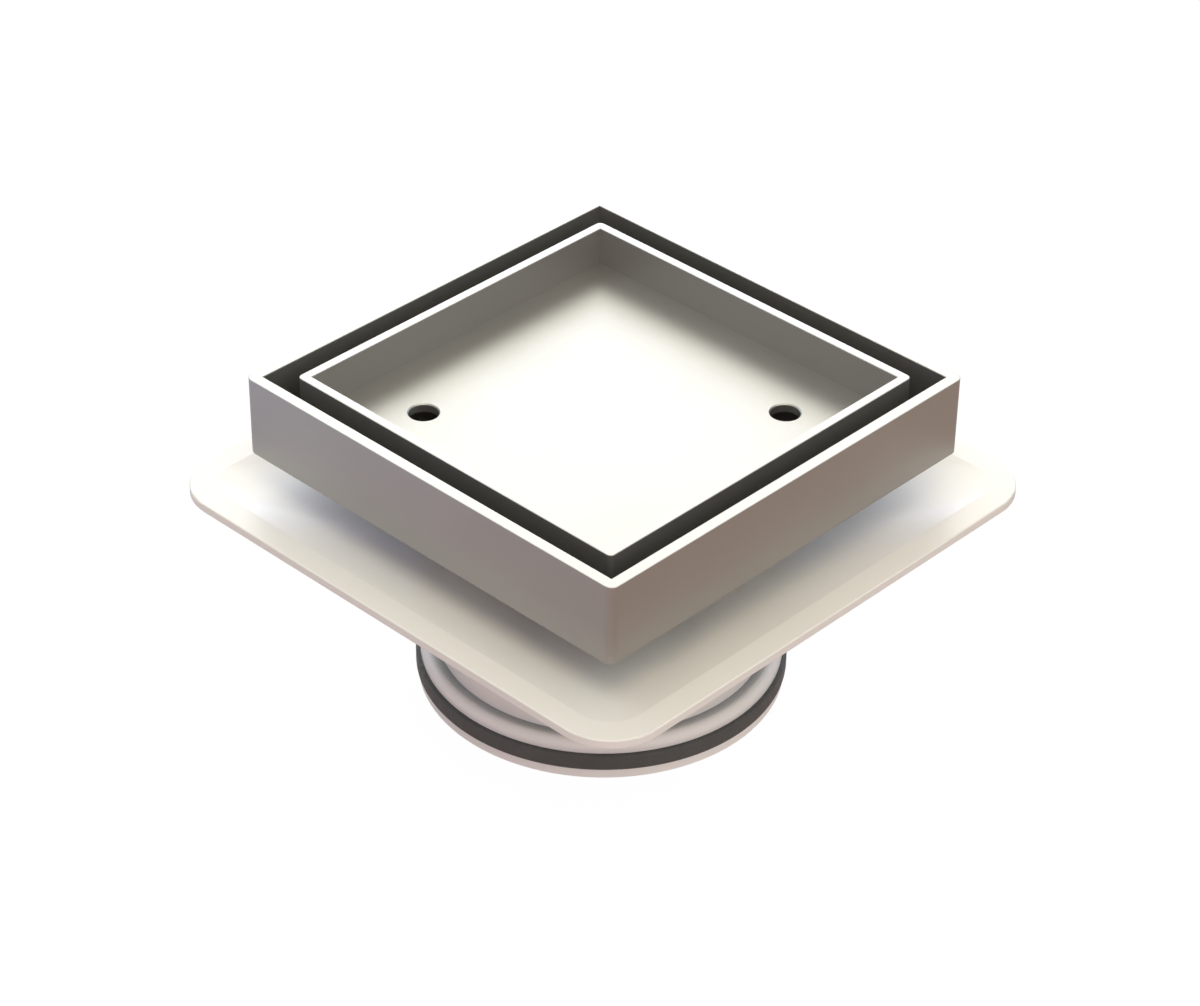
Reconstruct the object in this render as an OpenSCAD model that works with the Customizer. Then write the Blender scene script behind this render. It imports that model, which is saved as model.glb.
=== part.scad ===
// Tile insert floor drain. A stainless tray that carries a cut floor tile sits in a square
// stainless frame. The frame's outlet tube drops into the throat of a moulded plastic flange,
// which takes the waterproof membrane and pushes into the waste pipe with a rubber seal.
// The origin is the centre of the spigot's lower end. +Z points up, to the finished floor.

/* [Whole drain] */
// Height from the spigot's lower end to the finished floor
total_h = 72; // [68:0.5:90]

/* [Surround frame] */
// Outside width of the square frame
frame_w = 102; // [98:1:106]
// Depth of the frame from the finished floor
frame_h = 17.8; // [16:0.1:20]
// Thickness of the frame's walls
frame_wall = 2.6; // [2:0.1:3]
// Thickness of the frame's floor
frame_floor_t = 2; // [1.5:0.1:2.5]
// Radius of the frame's outside corners
frame_corner_r = 1.9; // [1:0.1:4]
// Outside diameter of the outlet tube
tube_d = 60.3; // [50:0.1:61]
// Wall of the outlet tube
tube_wall = 1.5; // [1:0.1:2]
// Length of the outlet tube below the frame
tube_l = 34; // [15:1:45]

/* [Tile tray] */
// Water slot between the tray and the frame
slot_w = 4.8; // [4.5:0.1:7]
// Depth of the tray for the tile and its adhesive
tray_depth = 8.5; // [7:0.1:9]
// Thickness of the tray's walls
tray_wall = 2.1; // [1.5:0.1:3]
// Thickness of the tray's floor
tray_floor_t = 1.9; // [1.5:0.1:2.5]
// Radius of the tray's outside corners
tray_corner_r = 1.2; // [0.8:0.1:2]
// Diameter of the lifting holes
lift_hole_d = 6.2; // [5:0.1:8]
// Distance of each lifting hole from the drain's axis, along both sides
lift_hole_pos = 25.8; // [15:0.1:27]
// Diameter of the studs that the tray stands on
foot_d = 8; // [5:0.5:9]
// Distance of each stud from the drain's axis, along both sides
foot_pos = 35; // [34.5:0.1:36]

/* [Membrane flange] */
// Width of the square flange
flange_w = 126.6; // [120:0.2:150]
// Height of the flange's rim below the finished floor
flange_drop = 25.3; // [22:0.1:27]
// Thickness of the moulding
plate_t = 2; // [1.8:0.1:3]
// Radius of the flange's corners in plan
flange_r = 12; // [9:0.5:16]
// Width of the flat rim round the dish
rim_w = 5.2; // [4:0.1:9]
// Radius of the dish's corners in plan
dish_r = 8; // [5:0.5:12]
// Fall of the dish from the rim to the throat
dish_fall = 4; // [2:0.5:6]

/* [Throat and spigot] */
// Outside diameter of the neck
neck_d = 69.4; // [67:0.1:72]
// Wall of the neck
neck_wall = 2.6; // [2:0.1:3]
// Outside diameter of the seal carrier
carrier_d = 76.6; // [76:0.1:82]
// Height of the seal carrier
carrier_h = 8.7; // [8:0.1:14]
// Radius of the carrier's shoulder
shoulder_r = 1.9; // [0.5:0.1:2]
// Outside diameter of the lip below the seal
lip_d = 77.5; // [76:0.1:77.7]
// Height of the lip below the seal
lip_h = 2.4; // [1.5:0.1:2.5]
// Outside diameter of the pipe seal
seal_d = 78.4; // [77.2:0.1:86]
// Height of the pipe seal
seal_h = 3.7; // [3:0.1:4]
// Depth of the groove that holds the seal
groove_depth = 3; // [2.5:0.1:3.2]
// Number of weep notches in the throat's collar
weep_count = 8; // [4:1:12]
// Width of a weep notch
weep_w = 7; // [4:0.5:8]
// Number of ribs under the dish
rib_count = 8; // [4:4:16]

/* [Hidden] */
$fn = 96;

// Small overlap that lets a cut pass clean through a face
cut = 1;

// Heights of the main faces above the spigot's lower end
frame_z = total_h - frame_h;
frame_floor_z = frame_z + frame_floor_t;
tray_floor_z = total_h - tray_depth;
tray_z = tray_floor_z - tray_floor_t;
rim_z = total_h - flange_drop;
throat_z = rim_z - dish_fall;

// Tray in its frame
frame_in_w = frame_w - 2 * frame_wall;
tray_w = frame_in_w - 2 * slot_w;
tray_in_w = tray_w - 2 * tray_wall;
tube_in_d = tube_d - 2 * tube_wall;
edge_r = 0.15;
rim_edge_r = 0.12;
hole_edge = 0.25;
foot_edge = 0.5;

// Flange moulding
plate_edge_r = 0.3;
dish_w = flange_w - 2 * rim_w;
neck_in_d = neck_d - 2 * neck_wall;
groove_r = carrier_d / 2 - groove_depth;
seal_edge_r = 0.6;
lead_in = 0.25;
rib_t = 1.8;
rib_drop = 16;
rib_end = 3;
weep_floor_gap = 0.6;

// Section across a slab of width w and height h, its edges rounded with radius e
module slab_section(w, h, e) {
    translate([e - w / 2, 0])
        square([w - 2 * e, h]);
    translate([-w / 2, e])
        square([w, h - 2 * e]);
    for (side = [-1, 1], z = [e, h - e])
        translate([side * (w / 2 - e), z])
            circle(r = e);
}

// Square slab with plan corners of radius r and all its long edges rounded with radius e
module soft_slab(w, h, r, e) {
    straight = w - 2 * r;
    for (turn = [0, 90])
        rotate([90, 0, turn])
            linear_extrude(straight, center = true)
                slab_section(w, h, e);
    for (x = [-1, 1], y = [-1, 1])
        translate([x * straight / 2, y * straight / 2])
            rotate_extrude()
                intersection() {
                    slab_section(2 * r, h, e);
                    square([r, h]);
                }
}

// Square recess from z up to the finished floor, with a small chamfer round its mouth
module square_recess(w, z) {
    translate([-w / 2, -w / 2, z])
        cube([w, w, total_h + cut - z]);
    intersection_for (turn = [0, 90])
        rotate([90, 0, turn])
            linear_extrude(2 * w, center = true)
                polygon([
                    [-w / 2, total_h - rim_edge_r],
                    [w / 2, total_h - rim_edge_r],
                    [w / 2 + rim_edge_r + cut, total_h + cut],
                    [-w / 2 - rim_edge_r - cut, total_h + cut]
                ]);
}

// Outline of the dish at the rim
module dish_outline(w, r) {
    straight = w - 2 * r;
    square([w, straight], center = true);
    square([straight, w], center = true);
    for (x = [-1, 1], y = [-1, 1])
        translate([x * straight / 2, y * straight / 2])
            circle(r = r);
}

// Solid that runs from the square dish outline at z down to the round throat
module dish_loft(z, w, r, throat_d) {
    skin = 0.01;
    hull() {
        translate([0, 0, z])
            linear_extrude(skin)
                dish_outline(w, r);
        translate([0, 0, z - dish_fall])
            cylinder(d = throat_d, h = skin);
    }
}

// Tray for the cut tile, with two holes for the lifting key
module tile_tray() {
    color("lightgray")
        difference() {
            translate([0, 0, tray_z])
                soft_slab(tray_w, total_h - tray_z, tray_corner_r, edge_r);
            square_recess(tray_in_w, tray_floor_z);
            for (side = [-1, 1])
                translate([side * lift_hole_pos, side * lift_hole_pos, tray_z])
                    lift_hole();
        }
}

// Hole through the tray's floor, with its upper edge broken
module lift_hole() {
    r = lift_hole_d / 2;
    rotate_extrude()
        polygon([
            [0, -cut],
            [r, -cut],
            [r, tray_floor_t - hole_edge],
            [r + hole_edge, tray_floor_t],
            [r + hole_edge, tray_floor_t + cut],
            [0, tray_floor_t + cut]
        ]);
}

// Stud under one corner of the tray, standing on the frame's floor
module tray_foot(x, y) {
    r = foot_d / 2;
    h = tray_z - frame_floor_z;
    color("silver")
        translate([x * foot_pos, y * foot_pos, frame_floor_z])
            rotate_extrude()
                polygon([
                    [0, 0],
                    [r - foot_edge, 0],
                    [r, foot_edge],
                    [r, h],
                    [0, h]
                ]);
}

// Square frame round the tray, with a floor that leads to the outlet
module surround_frame() {
    color("lightgray")
        difference() {
            translate([0, 0, frame_z])
                soft_slab(frame_w, frame_h, frame_corner_r, edge_r);
            square_recess(frame_in_w, frame_floor_z);
            translate([0, 0, frame_z - cut])
                cylinder(d = tube_in_d, h = frame_h);
        }
}

// Tube under the frame's floor
module outlet_tube() {
    color("silver")
        translate([0, 0, frame_z - tube_l])
            difference() {
                cylinder(d = tube_d, h = tube_l);
                translate([0, 0, -cut])
                    cylinder(d = tube_in_d, h = tube_l + 2 * cut);
            }
}

// Half section of the neck, its collar and the seal carrier, out from the bore
module neck_section() {
    bore_r = neck_in_d / 2;
    neck_r = neck_d / 2;
    carrier_r = carrier_d / 2;
    lip_r = lip_d / 2;
    seal_top = lip_h + seal_h;
    translate([bore_r, 0])
        square([neck_r - bore_r, frame_z]);
    translate([bore_r, lip_h])
        square([groove_r - bore_r, seal_h]);
    polygon([
        [bore_r, 0],
        [lip_r - lead_in, 0],
        [lip_r, lead_in],
        [lip_r, lip_h],
        [bore_r, lip_h]
    ]);
    translate([bore_r, seal_top])
        square([carrier_r - shoulder_r - bore_r, carrier_h - seal_top]);
    translate([bore_r, seal_top])
        square([carrier_r - bore_r, carrier_h - shoulder_r - seal_top]);
    intersection() {
        translate([carrier_r - shoulder_r, carrier_h - shoulder_r])
            circle(r = shoulder_r);
        translate([carrier_r - shoulder_r, seal_top])
            square([shoulder_r, carrier_h]);
    }
}

// Upright rib from the neck out to the underside of the rim
module rib(reach) {
    start = neck_in_d / 2 + neck_wall / 2;
    rotate([90, 0, 0])
        linear_extrude(rib_t, center = true)
            polygon([
                [start, rim_z - plate_t / 2],
                [reach, rim_z - plate_t / 2],
                [reach, rim_z - plate_t - rib_end],
                [start, rim_z - plate_t - rib_drop]
            ]);
}

// Flange moulding: rim, dish, collar with weep notches, ribbed neck and seal carrier
module membrane_flange() {
    throat_d = neck_d - neck_wall;
    shell_d = neck_d + plate_t;
    side_reach = dish_w / 2;
    corner_reach = side_reach * sqrt(2) - dish_r;
    color("ivory")
        difference() {
            union() {
                difference() {
                    union() {
                        translate([0, 0, rim_z - plate_t])
                            soft_slab(flange_w, plate_t, flange_r, plate_edge_r);
                        dish_loft(rim_z - plate_t, dish_w + plate_t, dish_r + plate_t / 2, shell_d);
                        for (i = [0 : rib_count - 1])
                            rotate([0, 0, i * 360 / rib_count])
                                rib(i % 2 == 0 ? side_reach : corner_reach);
                    }
                    dish_loft(rim_z, dish_w, dish_r, throat_d);
                }
                rotate_extrude()
                    neck_section();
            }
            translate([0, 0, -cut])
                cylinder(d = neck_in_d, h = total_h);
            for (i = [0 : weep_count - 1])
                rotate([0, 0, (i + 0.5) * 360 / weep_count])
                    translate([neck_in_d / 2 - cut, -weep_w / 2, throat_z + weep_floor_gap])
                        cube([neck_wall + 2 * cut, weep_w, frame_z - throat_z]);
        }
}

// Rubber ring in the carrier's groove, which seals in the waste pipe
module pipe_seal() {
    seal_r = seal_d / 2;
    color("dimgray")
        translate([0, 0, lip_h])
            rotate_extrude() {
                translate([groove_r, 0])
                    square([seal_r - seal_edge_r - groove_r, seal_h]);
                translate([groove_r, seal_edge_r])
                    square([seal_r - groove_r, seal_h - 2 * seal_edge_r]);
                for (z = [seal_edge_r, seal_h - seal_edge_r])
                    translate([seal_r - seal_edge_r, z])
                        circle(r = seal_edge_r);
            }
}

tile_tray();
tray_foot(-1, -1);  // tray_foot_front_left
tray_foot(1, -1);  // tray_foot_front_right
tray_foot(-1, 1);  // tray_foot_back_left
tray_foot(1, 1);  // tray_foot_back_right
surround_frame();
outlet_tube();
membrane_flange();
pipe_seal();
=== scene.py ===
"""Dresses the tile insert floor drain: materials, floor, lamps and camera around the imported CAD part."""

import math

import bpy
from mathutils import Matrix, Vector


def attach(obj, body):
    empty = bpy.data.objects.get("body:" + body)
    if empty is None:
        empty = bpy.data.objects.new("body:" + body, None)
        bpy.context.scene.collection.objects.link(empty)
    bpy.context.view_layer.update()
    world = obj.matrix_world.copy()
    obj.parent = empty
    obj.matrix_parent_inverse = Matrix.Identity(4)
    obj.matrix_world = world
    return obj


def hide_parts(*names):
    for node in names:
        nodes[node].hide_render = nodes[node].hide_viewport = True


MM = 0.001

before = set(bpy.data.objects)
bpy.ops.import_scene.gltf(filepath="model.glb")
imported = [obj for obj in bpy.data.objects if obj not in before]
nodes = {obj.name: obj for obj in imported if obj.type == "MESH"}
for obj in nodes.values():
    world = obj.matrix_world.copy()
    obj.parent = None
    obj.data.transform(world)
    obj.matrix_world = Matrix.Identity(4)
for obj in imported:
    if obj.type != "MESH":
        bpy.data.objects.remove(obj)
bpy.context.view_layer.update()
scene = bpy.context.scene


# Scene and node helpers

def add(name, data):
    """A new object in the scene for this mesh, lamp or camera."""
    made = bpy.data.objects.new(name, data)
    scene.collection.objects.link(made)
    return made


def new_material(name):
    """A material with its Principled shader, as (material, tree, shader)."""
    material = bpy.data.materials.new(name)
    material.use_nodes = True
    tree = material.node_tree
    return material, tree, tree.nodes["Principled BSDF"]


def node(tree, kind, inputs=None, **settings):
    """A shader node with its settings, its inputs given as values or as sockets to link."""
    made = tree.nodes.new(kind)
    for key, value in settings.items():
        setattr(made, key, value)
    for key, value in (inputs or {}).items():
        if isinstance(value, bpy.types.NodeSocket):
            tree.links.new(value, made.inputs[key])
        else:
            made.inputs[key].default_value = value
    return made


def reckon(tree, operation, first, second):
    """The result of a math node with two inputs."""
    return node(tree, "ShaderNodeMath", {0: first, 1: second}, operation=operation).outputs["Value"]


def ramp(tree, factor, stops):
    """A colour ramp over (position, colour) stops."""
    made = node(tree, "ShaderNodeValToRGB", {"Fac": factor})
    elements = made.color_ramp.elements
    while len(elements) < len(stops):
        elements.new(0.5)
    for element, (position, colour) in zip(elements, stops):
        element.position = position
        element.color = (*colour, 1)
    return made.outputs["Color"]


def remap(tree, value, low, high, start=0.0, end=1.0):
    """A value mapped from start .. end to low .. high, and held beyond them."""
    inputs = {"Value": value, "From Min": start, "From Max": end, "To Min": low, "To Max": high}
    return node(tree, "ShaderNodeMapRange", inputs).outputs["Result"]


def noise(tree, scale, detail=3.0, roughness=0.5, stretch=None):
    """Noise over the part's own coordinates, in metres, stretched if asked."""
    place = node(tree, "ShaderNodeTexCoord").outputs["Object"]
    if stretch:
        place = node(tree, "ShaderNodeMapping", {"Vector": place, "Scale": stretch}).outputs["Vector"]
    inputs = {"Vector": place, "Scale": scale, "Detail": detail, "Roughness": roughness}
    return node(tree, "ShaderNodeTexNoise", inputs).outputs["Fac"]


def bump(tree, height, depth, strength=1.0, under=None):
    """A bump of that depth, laid over another bump if given."""
    inputs = {"Height": height, "Distance": depth, "Strength": strength}
    if under:
        inputs["Normal"] = under
    return node(tree, "ShaderNodeBump", inputs).outputs["Normal"]


def viewing_rays(tree):
    """Two sockets: 1 on rays from the camera, straight or through anything clear, and 1 on mirrored rays."""
    rays = node(tree, "ShaderNodeLightPath").outputs
    seen = reckon(tree, "MAXIMUM", rays["Is Camera Ray"], rays["Is Transmission Ray"])
    return seen, rays["Is Glossy Ray"]


# Materials

# Painted shade: the plastic's ledges are multiplied by this grey where the piece itself closes them in
# within this reach, darkening them as shade would
CORNER_PAINTED_SHADE = (0.28, 0.31, 0.33, 1)
CORNER_REACH = 4 * MM
# Open share of the reach at which a corner is fully shut, and at which it isn't shut at all
CORNER_OPEN = (0.65, 0.99)
# Upward part of a face's normal from which it counts as a ledge, and at which it fully does
LEDGE_FACING = (0.6, 0.95)


def satin_steel(name, dark, pale, rough_low, rough_high, stretch=None, relief=1.0):
    """Stainless steel with a fine blasted grain, or a brushing where the grain is stretched."""
    material, tree, shader = new_material(name)
    cloud = noise(tree, 45.0, 4.0)
    tree.links.new(ramp(tree, cloud, [(0.3, dark), (0.7, pale)]), shader.inputs["Base Color"])
    fine = noise(tree, 900.0, 2.0, 0.5, stretch)
    tree.links.new(remap(tree, fine, rough_low, rough_high), shader.inputs["Roughness"])
    broad = bump(tree, noise(tree, 160.0, 2.0), 0.03 * MM, 0.25 * relief)
    grain = noise(tree, 2400.0, 3.0, 0.6, stretch)
    tree.links.new(bump(tree, grain, 0.02 * MM, 0.45 * relief, broad), shader.inputs["Normal"])
    shader.inputs["Metallic"].default_value = 0.8
    return material


def painted_corner_shade(tree):
    """The mask of the painted shade: 1 on faces that look up in an inner corner of their own piece, 0 on
    open or steep ones.
    """
    corner = node(tree, "ShaderNodeAmbientOcclusion", {"Distance": CORNER_REACH}, samples=6, only_local=True)
    shut = remap(tree, corner.outputs["AO"], 1.0, 0.0, *CORNER_OPEN)
    facing = node(tree, "ShaderNodeNewGeometry").outputs["True Normal"]
    height = node(tree, "ShaderNodeSeparateXYZ", {0: facing}).outputs["Z"]
    return reckon(tree, "MULTIPLY", shut, remap(tree, height, 0.0, 1.0, *LEDGE_FACING))


def moulded_plastic(name):
    """Warm white ABS with the faint orange peel of a polished mould, and painted shade that darkens ledges
    in its corners.
    """
    material, tree, shader = new_material(name)
    cloud = noise(tree, 30.0, 3.0)
    tint = ramp(tree, cloud, [(0.3, (0.825, 0.795, 0.75)), (0.7, (0.85, 0.82, 0.775))])
    # A colour Mix node has its factor, its two colours and its result at these places
    # Painted shade: the tint is multiplied down by the corner grey on ledges that the piece closes in
    inputs = {0: painted_corner_shade(tree), 6: tint, 7: CORNER_PAINTED_SHADE}
    shade_painted_tint = node(tree, "ShaderNodeMix", inputs, data_type="RGBA", blend_type="MULTIPLY").outputs[2]
    tree.links.new(shade_painted_tint, shader.inputs["Base Color"])
    tree.links.new(remap(tree, noise(tree, 120.0, 3.0), 0.34, 0.42), shader.inputs["Roughness"])
    peel = bump(tree, noise(tree, 260.0, 2.0), 0.03 * MM, 0.3)
    tree.links.new(bump(tree, noise(tree, 1600.0, 2.0), 0.01 * MM, 0.4, peel), shader.inputs["Normal"])
    return material


def black_rubber(name):
    """Dark rubber with the coarse, slightly torn skin of a moulded ring."""
    material, tree, shader = new_material(name)
    cloud = noise(tree, 70.0, 4.0)
    tint = ramp(tree, cloud, [(0.3, (0.056, 0.056, 0.052)), (0.7, (0.073, 0.073, 0.069))])
    tree.links.new(tint, shader.inputs["Base Color"])
    tree.links.new(remap(tree, noise(tree, 400.0, 3.0), 0.5, 0.72), shader.inputs["Roughness"])
    skin = bump(tree, noise(tree, 520.0, 4.0, 0.7), 0.30 * MM, 0.8)
    tree.links.new(bump(tree, noise(tree, 1900.0, 2.0), 0.08 * MM, 0.6, skin), shader.inputs["Normal"])
    return material


ROUND_BRUSHING = (0.12, 0.12, 1.0)
steel = satin_steel("satin_steel", (0.344, 0.334, 0.317), (0.358, 0.348, 0.330), 0.32, 0.38)
tube_steel = satin_steel(
    "tube_steel", (0.32, 0.31, 0.30), (0.36, 0.345, 0.335), 0.26, 0.34, ROUND_BRUSHING, relief=0.2
)
plastic = moulded_plastic("warm_white_plastic")
rubber = black_rubber("black_rubber")

# What is not listed, the tray's feet, is satin steel too
FINISH = {
    "tile_tray": steel,
    "surround_frame": steel,
    "outlet_tube": tube_steel,
    "membrane_flange": plastic,
    "pipe_seal": rubber,
}
for name, obj in nodes.items():
    obj.data.materials.clear()
    obj.data.materials.append(FINISH.get(name, steel))


# Pipe seal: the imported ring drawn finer, with a fine gap where it leaves the groove

# Sizes in mm
SEAL_R = 39.2
GROOVE_R = 35.3
GROOVE_LOW, GROOVE_HIGH = 2.4, 6.1
# The gap at the groove's edges, the radius where it starts at each edge, and the run in which it opens
SEAL_GAP = 0.09
GAP_LOW_R, GAP_HIGH_R = 38.0, 37.6
GAP_RUN = 0.15
# Radius of the ring's outer edges, and the steps that draw each
SEAL_EDGE = 0.2
EDGE_STEPS = 4
SEAL_SEGMENTS = 288


def seal_section():
    """The ring's (radius, height) points: seated in the groove, clear of its edges and rounded outside."""
    low, high = GROOVE_LOW + SEAL_GAP, GROOVE_HIGH - SEAL_GAP
    edge_r = SEAL_R - SEAL_EDGE
    turns = [math.radians(90 * step / EDGE_STEPS) for step in range(EDGE_STEPS + 1)]
    section = [(GROOVE_R, GROOVE_LOW), (GAP_LOW_R, GROOVE_LOW), (GAP_LOW_R + GAP_RUN, low)]
    for t in turns:
        section.append((edge_r + SEAL_EDGE * math.sin(t), low + SEAL_EDGE - SEAL_EDGE * math.cos(t)))
    for t in turns:
        section.append((edge_r + SEAL_EDGE * math.cos(t), high - SEAL_EDGE + SEAL_EDGE * math.sin(t)))
    section += [(GAP_HIGH_R + GAP_RUN, high), (GAP_HIGH_R, GROOVE_HIGH), (GROOVE_R, GROOVE_HIGH)]
    return section


def ring(name, outline, segments):
    """A solid ring from its section, (radius, height) points in mm, turned about Z."""
    points = []
    faces = []
    count = len(outline)
    for i in range(segments):
        turn = 2 * math.pi * i / segments
        points += [(r * MM * math.cos(turn), r * MM * math.sin(turn), z * MM) for r, z in outline]
        here, along = i * count, (i + 1) % segments * count
        for j in range(count):
            after = (j + 1) % count
            faces.append((here + j, along + j, along + after, here + after))
    mesh = bpy.data.meshes.new(name)
    mesh.from_pydata(points, [], faces)
    mesh.shade_smooth()
    mesh.set_sharp_from_angle(angle=math.radians(35))
    return add(name, mesh)


seal_ring = ring("pipe_seal_ring", seal_section(), SEAL_SEGMENTS)
seal_ring.data.materials.append(rubber)
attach(seal_ring, "root")
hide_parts("pipe_seal")


# Camera: placed by azimuth from the part's front, elevation and roll

AZ, EL, ROLL = (math.radians(a) for a in (43.645, 34.908, 0.763))
AIM = Vector((30.00, -32.45, 72.0)) * MM
DISTANCE = 645.0 * MM
SENSOR_WIDTH = 36.0
LENS = 102.005

back = Vector((math.sin(AZ) * math.cos(EL), -math.cos(AZ) * math.cos(EL), math.sin(EL)))
right = Vector((math.cos(AZ), math.sin(AZ), 0))
up = back.cross(right)
x_axis = right * math.cos(ROLL) + up * math.sin(ROLL)
y_axis = up * math.cos(ROLL) - right * math.sin(ROLL)
stance = Matrix((x_axis, y_axis, back)).transposed().to_4x4()
camera = add("camera", bpy.data.cameras.new("camera"))
camera.matrix_world = Matrix.Translation(AIM + back * DISTANCE) @ stance
camera.data.sensor_width = SENSOR_WIDTH
camera.data.lens = LENS
camera.data.clip_start = 0.01
camera.data.clip_end = 100.0
scene.camera = camera


# Lights

LAMPS_AIM = Vector((0, 0, 55 * MM))
LAMP_DISTANCE = 1.6


def softbox(name, azimuth, elevation, size, radiance):
    """A round softbox aimed at the part, by its radiance.

    Azimuth 0 is on the camera's side and 90 to its right. The size is the diameter in metres.
    """
    a = AZ + math.radians(azimuth)
    e = math.radians(elevation)
    way = Vector((math.sin(a) * math.cos(e), -math.cos(a) * math.cos(e), math.sin(e)))
    peak = max(radiance)
    data = bpy.data.lights.new(name, "AREA")
    data.shape = "DISK"
    data.size = size
    # A disk of radiance L gives off L x pi x its area
    data.energy = peak * math.pi * math.pi * (size / 2) ** 2
    data.color = [c / peak for c in radiance]
    lamp = add(name, data)
    lamp.location = LAMPS_AIM + way * LAMP_DISTANCE
    lamp.rotation_mode = "QUATERNION"
    lamp.rotation_quaternion = way.to_track_quat("Z", "Y")


softbox("back_low", 180, 10, 0.95, (1.30, 1.75, 3.20))
softbox("back", 180, 30, 1.15, (2.72, 2.73, 2.46))
softbox("back_high", 180, 68, 1.0, (0.53, 0.36, 0.08))
softbox("back_left", -135, 40, 1.15, (0.85, 1.15, 1.35))
softbox("back_left_low", -135, 12, 0.95, (0.15, 0.45, 0.80))
softbox("back_right_low", 135, 12, 0.95, (0.20, 0.65, 1.20))
softbox("left_high", -90, 68, 1.0, (0.85, 0.80, 0.58))
softbox("left_level", -90, 5, 0.5, (0.95, 0.95, 0.95))
softbox("right_high", 90, 68, 1.0, (0.43, 0.31, 0.02))
softbox("front_low", 0, 12, 0.95, (1.02, 0.71, 0.90))
softbox("front_right_low", 45, 12, 0.95, (0.45, 0.34, 0.43))
softbox("front_right_level", 45, 5, 0.5, (0.80, 0.67, 0.73))
softbox("front", 0, 40, 1.15, (0.81, 0.75, 0.70))
softbox("front_right", 45, 40, 1.15, (1.15, 1.31, 0.99))
softbox("front_high", 0, 68, 1.0, (1.70, 1.44, 0.95))


# World

WHITE = (1, 1, 1, 1)
WORLD_FILL = (0.46, 0.46, 0.50, 1)


def studio_world():
    """A world that is dim to matt surfaces, and white to the camera, in metal and through anything clear."""
    world = bpy.data.worlds.new("studio")
    world.use_nodes = True
    tree = world.node_tree
    tree.nodes.clear()
    seen, mirrored = viewing_rays(tree)
    white = reckon(tree, "MAXIMUM", seen, mirrored)
    fill = node(tree, "ShaderNodeBackground", {"Color": WORLD_FILL, "Strength": 1.0})
    studio = node(tree, "ShaderNodeBackground", {"Color": WHITE, "Strength": 1.0})
    mix = node(tree, "ShaderNodeMixShader", {0: white, 1: fill.outputs[0], 2: studio.outputs[0]})
    node(tree, "ShaderNodeOutputWorld", {"Surface": mix.outputs[0]})
    return world


scene.world = studio_world()


# Floor

# To the camera: its own white, and the faint matt colour that takes the part's shadow
FLOOR_SEEN = 0.96
FLOOR_SHADE = (0.066, 0.066, 0.070, 1)
# To the part: the matt colours that light it from beside the neck and from further out
FLOOR_NEAR = (0.95, 0.84, 0.78)
FLOOR_LIT = (0.46, 0.38, 0.35)
NEAR_R, LIT_R = 42 * MM, 65 * MM
# To the metal: a dim glow that changes from the camera's left to its right, this far on each side
FLOOR_IN_METAL = [
    (0.0, (0.33, 0.46, 0.66)),
    (0.1, (0.26, 0.29, 0.41)),
    (0.22, (0.14, 0.11, 0.16)),
    (0.5, (0.12, 0.08, 0.06)),
    (0.72, (0.07, 0.0, 0.0)),
    (1.0, (0.10, 0.03, 0.0)),
]
IN_METAL_REACH = 200 * MM
# It is open under the neck, as over a pipe, so that the outlet is lit from below too
OPENING_R = 38.6 * MM
FLOOR_R = 12.0
FLOOR_SEGMENTS = 96


def open_floor(name):
    """A wide flat ring on the ground, facing up."""
    turns = [2 * math.pi * i / FLOOR_SEGMENTS for i in range(FLOOR_SEGMENTS)]
    points = [(r * math.cos(t), r * math.sin(t), 0) for r in (OPENING_R, FLOOR_R) for t in turns]
    faces = []
    for i in range(FLOOR_SEGMENTS):
        after = (i + 1) % FLOOR_SEGMENTS
        faces.append((i, FLOOR_SEGMENTS + i, FLOOR_SEGMENTS + after, after))
    mesh = bpy.data.meshes.new(name)
    mesh.from_pydata(points, [], faces)
    return add(name, mesh)


def floor_material(name):
    """White with a shadow to the camera, matt to the part, a dim glow to its metal, and clear from below."""
    material, tree, shader = new_material(name)
    seen, mirrored = viewing_rays(tree)
    place = node(tree, "ShaderNodeTexCoord").outputs["Object"]

    reach = node(tree, "ShaderNodeVectorMath", {0: place}, operation="LENGTH").outputs["Value"]
    outward = remap(tree, reach, 0.0, 1.0, NEAR_R, LIT_R)
    tree.links.new(ramp(tree, outward, [(0.0, FLOOR_NEAR), (1.0, FLOOR_LIT)]), shader.inputs["Base Color"])
    shader.inputs["Roughness"].default_value = 0.9
    shader.inputs["Specular IOR Level"].default_value = 0.0

    across = node(tree, "ShaderNodeVectorMath", {0: place, 1: right}, operation="DOT_PRODUCT")
    side = remap(tree, across.outputs["Value"], 0.0, 1.0, -IN_METAL_REACH, IN_METAL_REACH)
    tint = ramp(tree, side, FLOOR_IN_METAL)
    sheen = node(tree, "ShaderNodeEmission", {"Color": tint, "Strength": mirrored})
    to_part = node(tree, "ShaderNodeAddShader", {0: shader.outputs[0], 1: sheen.outputs[0]})

    level = reckon(tree, "MULTIPLY", seen, FLOOR_SEEN)
    glow = node(tree, "ShaderNodeEmission", {"Color": WHITE, "Strength": level})
    shade = node(tree, "ShaderNodeBsdfDiffuse", {"Color": FLOOR_SHADE})
    to_camera = node(tree, "ShaderNodeAddShader", {0: glow.outputs[0], 1: shade.outputs[0]})

    top = node(tree, "ShaderNodeMixShader", {0: seen, 1: to_part.outputs[0], 2: to_camera.outputs[0]})
    below = node(tree, "ShaderNodeNewGeometry").outputs["Backfacing"]
    clear = node(tree, "ShaderNodeBsdfTransparent")
    surface = node(tree, "ShaderNodeMixShader", {0: below, 1: top.outputs[0], 2: clear.outputs[0]})
    tree.links.new(surface.outputs[0], tree.nodes["Material Output"].inputs["Surface"])
    return material


floor = open_floor("floor")
floor.data.materials.append(floor_material("floor"))

scene.view_settings.view_transform = "Standard"
